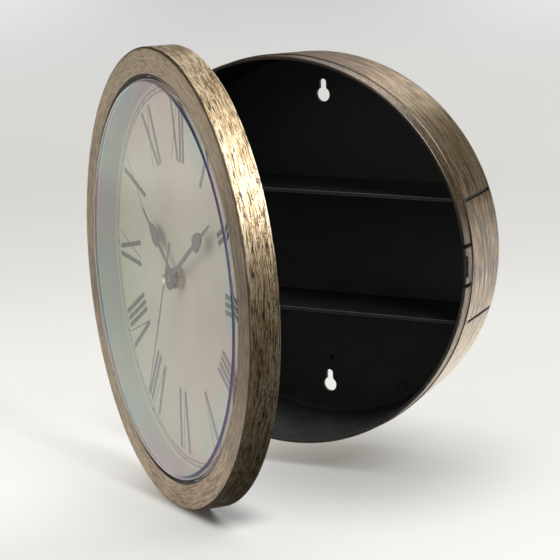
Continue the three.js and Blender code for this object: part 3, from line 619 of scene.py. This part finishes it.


# Shelves.
# Two flat black boards with a long thinner tab at each end, which snaps into the drum's wall. They are
# moulded in the same plastic as the drum; their front faces are painted a touch paler and their front corners
# pale, painted highlights.
shelf_edge = 0.0003
shelf_height, shelf_thickness = 0.035, 0.0020
shelf_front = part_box("upper_shelf")[0][1]
shelf_finish, tree, shader = new_finish("shelf plastic", {"Specular IOR Level": 0.5})
point = object_point(tree)
black = moulding(tree, point, Gloss=0.42, Dustiness=0.45)
_, y, z = xyz(tree, point)
level = calc(tree, "ABSOLUTE", calc(tree, "SUBTRACT", calc(tree, "ABSOLUTE", z), shelf_height))
corner = between(tree, level, shelf_thickness / 2 - 0.00045, shelf_thickness / 2 - 0.00020)
front = between(tree, y, shelf_front + 0.0006, shelf_front + 0.0003)
scuffed = calc(tree, "MULTIPLY_ADD", front, 0.03, product(tree, corner, front, 0.16))
feed(tree, shader.inputs, {
    "Base Color": tint(tree, scuffed, black["Color"], (0.60, 0.60, 0.61, 1)), "Roughness": black["Roughness"],
}, black["Height"], 0.25)


def flat_faced(form):
    """Joins the triangles of each flat face, so that edges can be softened."""
    bmesh.ops.dissolve_limit(form, angle_limit=radians(0.3), verts=form.verts, edges=form.edges)
    return form


def as_modelled(name, body, material, bevel=0.0):
    """A CAD node's own shape as the shown piece, with soft edges where a bevel is given."""
    finished(flat_faced(shape_of(name)), name, body, material, [name], bevel)


for name in ("upper_shelf", "lower_shelf"):
    as_modelled(name, "case", shelf_finish, shelf_edge)


# Bezel.
# A hollow ring moulding with rounded front edges that overhangs the drum, sprayed and brushed like
# it. Bare black plastic shows in the channel behind, with the hinge ears and screw bosses.
hinge = next(joint for joint in frame["joints"] if joint["name"] == "door_hinge")
pin_place = Vector(hinge["pos_m"])
door = (
    Matrix.Translation(pin_place)
    @ Matrix.Rotation(radians(hinge["range_deg"][0]), 4, "Z")
    @ Matrix.Translation(-pin_place)
)


def door_extent(name):
    """Lowest and highest corner of a CAD node in the shut door's own frame."""
    shut = door.inverted()
    corners = [shut @ v.co for v in frame["nodes"][name].data.vertices]
    return tuple(Vector(limit(c[i] for c in corners) for i in range(3)) for limit in (min, max))


bezel_low, bezel_high = door_extent("bezel_ring")
bezel_front, bezel_radius = bezel_low.y, bezel_high.z
bezel_wall, aperture_radius, bezel_rounded_from = 0.0019, 0.1113, 0.1
bezel_coat = 0.28


def bezel_masks(tree, point):
    """Bronze on the front and outer side; worn behind the front edge and at the rear; dark on the edge; a
    painted shadow by the aperture; painted light high on the front and painted shade at its right; the side
    painted paler low down than high up.
    """
    radius, depth = radius_and_depth(tree, point)
    x, _, z = xyz(tree, point)
    front = between(tree, depth, bezel_front + 0.0007, bezel_front + 0.0012, 1.0, 0.0)
    side = between(tree, radius, bezel_radius - bezel_wall * 0.6, bezel_radius - bezel_wall * 0.4)
    corner = near_edge(tree, radius, depth, bezel_radius - 0.0005, bezel_front + 0.0005, 0.0005)
    # A painted shadow next to the aperture, where the bezel meets the lens
    inner = between(tree, radius, aperture_radius + 0.0020, aperture_radius + 0.0014)
    rear = near_edge(tree, radius, depth, bezel_radius, bezel_high.y, 0.0003)
    behind = near_edge(tree, radius, depth, bezel_radius, bezel_front + 0.0021, 0.0004)
    behind = product(tree, behind, patches(tree, point, 90.0, 0.35, 0.60, 2.0))
    flat = between(tree, depth, bezel_front + 0.0012, bezel_front + 0.0003)
    # The front face is painted paler towards the top, painted light, and darker towards the right, painted
    # shade
    high = product(tree, flat, between(tree, z, 0.05, 0.12, 0.0, 0.45))
    soiled = product(tree, flat, between(tree, x, 0.07, 0.12, 0.0, 0.45))
    return largest(tree, front, side), {
        "Worn": largest(tree, behind, rear, high),
        "Grime": largest(tree, product(tree, corner, 0.9), inner, soiled),
        "Haze": product(tree, flat, 0.34),
        # The side is painted a little paler low down and darker high up, painted light and shade
        "Rub": calc(tree, "MULTIPLY_ADD", flat, -0.10, between(tree, z, -0.005, 0.045, 0.69, 0.66)),
    }


bezel_strokes = {
    "Stroke": 11.0, "Lines": 2400.0, "Scoring": 0.41, "Satin": 0.33,
    "Bronze": (0.42, 0.245, 0.090, 1), "Pale": (0.80, 0.66, 0.44, 1), "Film": (0.60, 0.455, 0.38, 1),
}
bezel_finish = sprayed_moulding("bezel lacquer", door, bezel_masks, bezel_coat, bezel_strokes)
form = round_off(shape_of("bezel_ring"), door, bezel_rounded_from)
finished(form, "bezel", "door", bezel_finish, ["bezel_ring"])


# Hinge pin.
# A plain drawn steel pin through the bezel's three ears and the drum's two arms.
# It is pressed in from one end and its ends are slightly rounded.
pin_edge = 0.0003
steel_finish, tree, shader = new_finish("drawn steel", {"Metallic": 1.0})
point = object_point(tree)
drawn = put(tree, "ShaderNodeMapping", {"Vector": point, "Scale": (4000, 4000, 120)}).outputs[0]
scratch = speckle(tree, drawn, 1.0, 3.0)
tarnish = patches(tree, point, 240.0, 0.40, 0.70)
feed(tree, shader.inputs, {
    "Base Color": tint(tree, tarnish, (0.58, 0.58, 0.59, 1), (0.40, 0.38, 0.35, 1)),
    "Roughness": calc(tree, "MULTIPLY_ADD", scratch, 0.30, 0.16),
}, scratch, 0.15, 0.00005)
as_modelled("hinge_pin", "door", steel_finish, pin_edge)


# Dial pan.
# A shallow pale plastic pan behind the lens. Its straight side wall shows as a ring round the dial,
# and four lugs on it are screwed to the bezel from behind.
pan_rounded_from = 0.09
pan_finish = moulded_finish(
    "pan plastic", door, 0.2, 0.4, Color=(0.50, 0.49, 0.49, 1), Dust=(0.30, 0.27, 0.24, 1),
    Gloss=0.45, Dustiness=0.8, Texture=2600.0, Mottle=0.03,
)
form = round_off(shape_of("dial_pan"), door, pan_rounded_from)
finished(form, "dial pan", "door", pan_finish, ["dial_pan"])


# Pan screws.
# Four round-headed steel screws with a straight slot, driven through the pan's lugs into bosses
# in the bezel's channel.
screw_count, screw_edge = 4, 0.0001
ring_of_parts = bpy.data.node_groups.new("ring of parts", "GeometryNodeTree")
ring_of_parts.interface.new_socket("Geometry", in_out="OUTPUT", socket_type="NodeSocketGeometry")
ring_inputs = {"Part": "Object", "Count": "Int", "Radius": "Float", "Start": "Float", "Finish": "Material"}
for label, kind in ring_inputs.items():
    ring_of_parts.interface.new_socket(label, in_out="INPUT", socket_type="NodeSocket" + kind)
tree = ring_of_parts
given = tree.nodes.new("NodeGroupInput").outputs
circle = put(tree, "GeometryNodeMeshCircle", {"Vertices": given["Count"], "Radius": given["Radius"]})
index = put(tree, "GeometryNodeInputIndex").outputs[0]
turn = product(tree, calc(tree, "DIVIDE", index, given["Count"]), 2 * pi)
spin = put(tree, "ShaderNodeCombineXYZ", {"Z": turn}).outputs[0]
part = put(tree, "GeometryNodeObjectInfo", {"Object": given["Part"]}).outputs["Geometry"]
inputs = {"Points": circle.outputs[0], "Instance": part, "Rotation": spin}
copies = put(tree, "GeometryNodeInstanceOnPoints", inputs).outputs[0]
begin = put(tree, "ShaderNodeCombineXYZ", {"Z": given["Start"]}).outputs[0]
turned = put(tree, "GeometryNodeTransform", {"Geometry": copies, "Rotation": begin}).outputs[0]
real = put(tree, "GeometryNodeRealizeInstances", {"Geometry": turned}).outputs[0]
done = put(tree, "GeometryNodeSetMaterial", {"Geometry": real, "Material": given["Finish"]}).outputs[0]
put(tree, "NodeGroupOutput", {0: done})

# From a drawing seen from the front, with x to the right and y up, to the door's own place
face_on = door @ Matrix.Rotation(pi / 2, 4, "X")


def ring_of(part_form, count, radius, start, finish):
    """Copies of a part, drawn at the middle, set round a circle and turned with it."""
    mesh = bpy.data.meshes.new("single part")
    part_form.to_mesh(mesh)
    part_form.free()
    single = bpy.data.objects.new("single part", mesh)
    carrier = bpy.data.objects.new("ring", bpy.data.meshes.new("ring"))
    for thing in (single, carrier):
        scene.collection.objects.link(thing)
    nodes = carrier.modifiers.new("ring of parts", "NODES")
    nodes.node_group = ring_of_parts
    values = {"Part": single, "Count": count, "Radius": radius, "Start": start, "Finish": finish}
    for socket in ring_of_parts.interface.items_tree:
        if socket.in_out == "INPUT":
            nodes[socket.identifier] = values[socket.name]
    ready = carrier.evaluated_get(bpy.context.evaluated_depsgraph_get())
    result = bpy.data.meshes.new_from_object(ready)
    form = bmesh.new()
    form.from_mesh(result)
    for thing in (single, carrier):
        bpy.data.objects.remove(thing)
    form.transform(face_on)
    return form


form = flat_faced(shape_of("pan_screw_1"))
form.transform(face_on.inverted())
finished(ring_of(form, screw_count, 0.0, 0.0, steel_finish), "pan screws", "door", steel_finish,
         [f"pan_screw_{i + 1}" for i in range(screw_count)], screw_edge)


# Dial.
# A round printed card with a warm pale ground, laid in the pan and held by the bush. Its ground is mottled
# and darker towards the right and the bottom, and it sits a little turned.
dial_low, dial_high = door_extent("dial_sheet")
card_radius, card_bore = dial_high.z, 0.0042
dial_turn = radians(-1.7)
dial_steps = 256
dial_finish, tree, shader = new_finish("dial print", {"Roughness": 0.5, "Specular IOR Level": 0.35})
point = axis_point(tree, door)
cloud = patches(tree, point, 16.0, 0.35, 0.65)
fibre = patches(tree, point, 1600.0, 0.3, 0.7)
ground = tint(tree, cloud, (0.50, 0.445, 0.345, 1), (0.57, 0.525, 0.415, 1))
ground = tint(tree, product(tree, fibre, 0.10), ground, (0.30, 0.27, 0.22, 1))
x, _, z = xyz(tree, point)
toned = largest(tree, between(tree, x, 0.0, 0.09), between(tree, z, -0.01, -0.09))
ground = tint(tree, product(tree, toned, 0.30), ground, (0.28, 0.26, 0.20, 1))
feed(tree, shader.inputs, {"Base Color": ground}, fibre, 0.1, 0.00005)
form = turned_form([
    (card_bore, dial_low.y), (card_radius, dial_low.y), (card_radius, dial_high.y), (card_bore, dial_high.y),
], dial_steps)
form.transform(door)
finished(form, "dial card", "door", dial_finish, ["dial_sheet"])


# Minute track.
# Two fine printed rings near the card's edge with a stroke at every minute and a heavier mark
# at every fifth.
ink_thickness = 0.00006
track_radii, track_line = (0.1030, 0.1054), 0.0007
minute_stroke, hour_mark = (0.0006, 0.0024), (0.0015, 0.0034)
ink_finish, tree, shader = new_finish("printing ink", {"Roughness": 0.6, "Specular IOR Level": 0.3})
worn = patches(tree, axis_point(tree, door), 1100.0, 0.3, 0.7)
colour = tint(tree, worn, (0.042, 0.044, 0.036, 1), (0.085, 0.086, 0.073, 1))
feed(tree, shader.inputs, {"Base Color": colour})
ink_front = dial_low.y - ink_thickness
track_form = bmesh.new()
for radius in track_radii:
    inner, outer = radius - track_line / 2, radius + track_line / 2
    line = turned_form([
        (inner, ink_front), (outer, ink_front), (outer, dial_low.y), (inner, dial_low.y),
    ], dial_steps)
    line.transform(door)
    add_to(track_form, line)


def sheet_part(outline, thickness):
    """A flat outline with thickness, its back at height nought."""
    form = bmesh.new()
    face = form.faces.new([form.verts.new((x, y, 0)) for x, y in outline])
    grown = bmesh.ops.extrude_face_region(form, geom=[face])["geom"]
    moved = [v for v in grown if isinstance(v, bmesh.types.BMVert)]
    bmesh.ops.translate(form, verts=moved, vec=(0, 0, thickness))
    bmesh.ops.recalc_face_normals(form, faces=form.faces)
    return form


def printed(outline):
    """An outline drawn from the front, as ink on the card's face."""
    form = sheet_part(outline, ink_thickness)
    form.transform(Matrix.Translation((0, 0, -dial_low.y)))
    return form


middle = sum(track_radii) / 2
for count, (width, length) in ((60, minute_stroke), (12, hour_mark)):
    low, high = middle - length / 2, middle + length / 2
    bar = printed([(-width / 2, low), (width / 2, low), (width / 2, high), (-width / 2, high)])
    add_to(track_form, ring_of(bar, count, 0.0, dial_turn, ink_finish))
finished(track_form, "minute track", "door", ink_finish)


# Numerals.
# Tall condensed Roman numerals, printed with their feet to the middle. Thick strokes run one way
# and hairlines the other, as in a pen-drawn V or X.
numeral_inner, numeral_outer = 0.065, 0.100
stem, hairline, letter_width, letter_gap = 0.0029, 0.0007, 0.0112, 0.0014

# Each letter's width, and for each stroke where it ends at the rim, where it ends inside, and its width
letter_shapes = {
    "I": (stem, [(0, 0, stem)]),
    "V": (letter_width, [(-0.0044, 0.0004, stem), (0.0050, 0.0010, hairline)]),
    "X": (letter_width, [(-0.0044, 0.0044, stem), (0.0052, -0.0052, hairline)]),
}
hour_names = ["XII", "I", "II", "III", "IIII", "V", "VI", "VII", "VIII", "IX", "X", "XI"]
form = bmesh.new()
for hour, letters in enumerate(hour_names):
    total = sum(letter_shapes[c][0] for c in letters) + letter_gap * (len(letters) - 1)
    start = -total / 2
    turn_to = Matrix.Rotation(dial_turn - hour * pi / 6, 4, "Z")
    for letter in letters:
        width, strokes = letter_shapes[letter]
        centre = start + width / 2
        for outer_at, inner_at, thick in strokes:
            top, foot = centre + outer_at, centre + inner_at
            stroke = printed([
                (top - thick / 2, numeral_outer), (foot - thick / 2, numeral_inner),
                (foot + thick / 2, numeral_inner), (top + thick / 2, numeral_outer),
            ])
            stroke.transform(turn_to)
            add_to(form, stroke)
        start += width + letter_gap
form.transform(face_on)
finished(form, "numerals", "door", ink_finish)


# Bush, nut and washer.
# The movement's threaded brass bush comes through the dial's middle and is held by a thin brass
# washer and a hexagon nut.
bush_radius, thread_pitch = 0.0039, 0.00075
brass_edge = 0.00012
brass_finish, tree, shader = new_finish("turned brass", {"Metallic": 1.0})
point = axis_point(tree, door)
mark = lines(tree, point, 3.0, 9000.0)
radius, depth = radius_and_depth(tree, point)
groove = calc(tree, "SINE", product(tree, depth, 2 * pi / thread_pitch))
groove = product(tree, groove, between(tree, radius, bush_radius + 0.0006, bush_radius + 0.0003))
stain = patches(tree, point, 420.0, 0.40, 0.70)
metal = tint(tree, stain, (0.74, 0.47, 0.29, 1), (0.38, 0.21, 0.13, 1))
feed(tree, shader.inputs, {
    # The thread's grooves are painted dark, painted shade
    "Base Color": tint(tree, between(tree, groove, -0.2, -0.9, 0.0, 0.75), metal, (0.06, 0.03, 0.02, 1)),
    "Roughness": calc(tree, "MULTIPLY_ADD", mark, 0.25, 0.14),
}, calc(tree, "MULTIPLY_ADD", groove, 2.0, mark), 0.4, 0.00008)
for name in ("threaded_bush", "dial_washer", "hex_nut"):
    as_modelled(name, "door", brass_finish, brass_edge)


# Quartz movement.
# A square black plastic case behind the pan, open at the back over the battery bay and shut by a
# plate over the gears. The fluted knob that sets the hands stands behind the plate.
case_edge = 0.00025
case_finish = moulded_finish("movement plastic", door, 0.3, Gloss=0.5, Dustiness=0.6)
for name, body in (("movement_case", "door"), ("movement_cover", "door"), ("set_knob", "knob")):
    as_modelled(name, body, case_finish, case_edge)


# Battery and its contacts.
# A single round cell in a plain green sleeve with bare steel ends, between a flat plate and a
# bowed steel leaf.
cell_low, cell_high = door_extent("battery")
left_bare, right_bare, sleeve_edge = 0.0010, 0.0022, 0.0001
cell_finish, tree, shader = new_finish("cell sleeve", {})
point = axis_point(tree, door)
x = xyz(tree, point)["X"]
left_end = between(tree, x, cell_low.x + left_bare, cell_low.x + left_bare + sleeve_edge, 1.0, 0.0)
right_end = between(tree, x, cell_high.x - right_bare, cell_high.x - right_bare + sleeve_edge)
bare = largest(tree, left_end, right_end)
scuff = between(tree, speckle(tree, point, 500.0, 4.0, 0.7), 0.55, 0.75)
sleeve = tint(tree, scuff, (0.03, 0.16, 0.09, 1), (0.06, 0.24, 0.15, 1))
feed(tree, shader.inputs, {
    "Base Color": tint(tree, bare, sleeve, (0.55, 0.55, 0.56, 1)), "Metallic": bare,
    "Roughness": calc(tree, "MULTIPLY_ADD", scuff, 0.2, 0.3),
})
finished(shape_of("battery"), "battery", "door", cell_finish, ["battery"])
for name in ("positive_contact", "negative_contact"):
    as_modelled(name, "door", steel_finish)


# Hour and minute hands.
# Spade hands stamped from thin sheet and painted dark grey. Each is pressed on its own plastic
# tube, one inside the other.
stem_width, spade_width, blunt_tip = 0.0026, 0.0100, 0.0010
curve_steps = 20
spade_edge = 0.00012


def plain_finish(name, scale, colours, rough_span, rough_least):
    """A smooth surface whose colour and roughness vary a little from place to place."""
    finish, tree, shader = new_finish(name, {"Specular IOR Level": 0.5})
    mottle = patches(tree, axis_point(tree, door), scale, 0.35, 0.65)
    feed(tree, shader.inputs, {
        "Base Color": tint(tree, mottle, *colours),
        "Roughness": calc(tree, "MULTIPLY_ADD", mottle, rough_span, rough_least),
    })
    return finish


greys = (0.055, 0.055, 0.051, 1), (0.080, 0.079, 0.072, 1)
creams = (0.72, 0.71, 0.67, 1), (0.80, 0.79, 0.75, 1)
hand_finish = plain_finish("hand paint", 700.0, greys, 0.12, 0.36)
acetal_finish = plain_finish("gear plastic", 300.0, creams, 0.1, 0.38)


def bend(start, control, end):
    """Points of a curve with one control point, without its start."""
    points = []
    for i in range(1, curve_steps + 1):
        t = i / curve_steps
        points.append(tuple(
            (1 - t) ** 2 * a + 2 * t * (1 - t) * b + t ** 2 * c for a, b, c in zip(start, control, end)
        ))
    return points


def spade_outline(length, root_share, belly_share, neck_share, hub_radius):
    """A spade hand's outline: one side, the hub's arc, the other side and the tip."""
    half, wide = stem_width / 2, spade_width / 2
    root, belly, neck = length * root_share, length * belly_share, length * neck_share
    right = [(half, root)]
    right += bend((half, root), (wide, root), (wide, belly))
    right += bend((wide, belly), (wide * belly_share, neck), (half * neck_share, neck))
    opening = atan2(half, (hub_radius ** 2 - half ** 2) ** 0.5)
    hub = []
    for i in range(2 * curve_steps + 1):
        angle = opening + (2 * pi - 2 * opening) * i / (2 * curve_steps)
        hub.append((hub_radius * sin(angle), hub_radius * cos(angle)))
    tip = [(-blunt_tip / 2, length), (blunt_tip / 2, length)]
    return [*reversed(right), *hub, *[(-x, y) for x, y in right], *tip]


def hand_at_rest(name):
    """Clockwise angle and length of a hand, from its CAD node's farthest corner."""
    shut = door.inverted()
    far = max((shut @ v.co for v in frame["nodes"][name].data.vertices), key=lambda c: hypot(c.x, c.z))
    return atan2(far.x, far.z), hypot(far.x, far.z)


spades = {
    "hour_hand": ("hour", (0.49, 0.60, 0.77), 0.0058),
    "minute_hand": ("minute", (0.62, 0.69, 0.81), 0.0063),
}
for name, (body, shares, hub_radius) in spades.items():
    low, high = door_extent(name)
    angle, length = hand_at_rest(name)
    form = sheet_part(spade_outline(length, *shares, hub_radius), high.y - low.y)
    form.transform(face_on @ Matrix.Rotation(-angle, 4, "Z") @ Matrix.Translation((0, 0, -high.y)))
    finished(form, name, body, hand_finish, [name], spade_edge)
for name, body in (("hour_tube", "hour"), ("minute_tube", "minute")):
    as_modelled(name, body, acetal_finish)


# Second hand.
# A thin painted needle with a paddle-shaped counterweight, riveted under a small domed brass cap
# whose stem pushes on to the innermost steel shaft.
needle_edge = 0.00008
cap_low, cap_high = door_extent("second_cap")
cap_radius, cap_height, cap_stem = cap_high.z, 0.00095, 0.00115
cap_steps, cap_dome_steps = 48, 8
as_modelled("second_hand", "second", hand_finish, needle_edge)
cap_finish, tree, shader = new_finish("polished brass", {"Metallic": 1.0})
point = axis_point(tree, door)
mark = lines(tree, point, 2.0, 12000.0)
dull = patches(tree, point, 900.0, 0.42, 0.62)
feed(tree, shader.inputs, {
    "Base Color": tint(tree, dull, (0.96, 0.84, 0.60, 1), (0.80, 0.64, 0.38, 1)),
    "Roughness": calc(tree, "MULTIPLY_ADD", mark, 0.20, 0.10),
})
dome = [(cap_radius * out, cap_low.y + cap_height * (1 - down)) for out, down in quarter_turn(cap_dome_steps)]
form = turned_form([
    *dome, (cap_stem, cap_low.y + cap_height), (cap_stem, cap_high.y), (0, cap_high.y),
], cap_steps, closed=False)
form.transform(door)
finished(form, "second cap", "second", cap_finish, ["second_cap"])
as_modelled("second_shaft", "second", steel_finish)


# Lens.
# A clear moulded crystal that stands a little proud of the bezel, with a flat front, a rounded
# shoulder and a short wall that seats on the pan's rim.
lens_low, lens_high = door_extent("lens")
lens_radius = lens_high.z
lens_wall, lens_shoulder = 0.0008, 0.0025
lens_steps, shoulder_steps = 256, 8
fringe_starts, fringe_ends = (0.0034, 0.0029), (0.0016, 0.0012)
lens_finish, tree, shader = new_finish("clear crystal", {
    "IOR": 1.49, "Specular IOR Level": 0.3, "Transmission Weight": 1.0, "Metallic": 0.0,
})
point = axis_point(tree, door)
x, _, z = xyz(tree, point)
radius, depth = radius_and_depth(tree, point)
# Green and pink casts drifting across the lens, and cyan and pink ones near its rim, are painted reflection
# tints
lean = calc(tree, "MULTIPLY_ADD", x, -1.2, calc(tree, "MULTIPLY_ADD", z, -0.9, 0.24))
stress = calc(tree, "MULTIPLY_ADD", speckle(tree, point, 13.0, 1.0), 0.55, lean)
outer = between(tree, radius, 0.088, 0.106)
hue = speckle(tree, point, 26.0)
# A painted navy band near the rim on the right: painted shade for the dark edge seen through the shoulder
fringe = product(
    tree, between(tree, radius, *(lens_radius - inset for inset in fringe_starts)),
    between(tree, radius, *(lens_radius - inset for inset in fringe_ends), 1.0, 0.0),
    between(tree, x, 0.0, 0.05),
)
colour = (0.99, 0.99, 0.985, 1)
for share, cast in (
    (between(tree, stress, 0.50, 0.62), (0.905, 0.985, 0.915, 1)),
    (between(tree, stress, 0.50, 0.38), (0.99, 0.93, 0.945, 1)),
    (product(tree, outer, between(tree, hue, 0.54, 0.62)), (0.83, 0.95, 0.96, 1)),
    (product(tree, outer, between(tree, hue, 0.52, 0.44)), (1.0, 0.87, 0.92, 1)),
    (fringe, (0.07, 0.06, 0.28, 1)),
):
    colour = tint(tree, share, colour, cast)
smear = between(tree, speckle(tree, point, 24.0, 3.0), 0.40, 0.70, 0.0, 0.02)
feed(tree, shader.inputs, {"Base Color": colour, "Roughness": calc(tree, "ADD", smear, 0.012)})
passes = put(tree, "ShaderNodeBsdfTransparent", {"Color": (0.93, 0.94, 0.93, 1)})
ray = put(tree, "ShaderNodeLightPath").outputs["Is Shadow Ray"]
both = put(tree, "ShaderNodeMixShader", {0: ray, 1: shader.outputs[0], 2: passes.outputs[0]})
tree.links.new(both.outputs[0], tree.nodes["Material Output"].inputs["Surface"])


def shoulder(radius):
    """Points round the lens's shoulder, from the flat front to the wall."""
    across, back = lens_radius - lens_shoulder, lens_low.y + lens_shoulder
    return [(across + radius * out, back - radius * ahead) for out, ahead in quarter_turn(shoulder_steps)]


form = turned_form([
    (0, lens_low.y), *shoulder(lens_shoulder), (lens_radius, lens_high.y),
    (lens_radius - lens_wall, lens_high.y), *reversed(shoulder(lens_shoulder - lens_wall)),
    (0, lens_low.y + lens_wall),
], lens_steps, closed=False)
form.transform(door)
finished(form, "lens", "door", lens_finish, ["lens"])
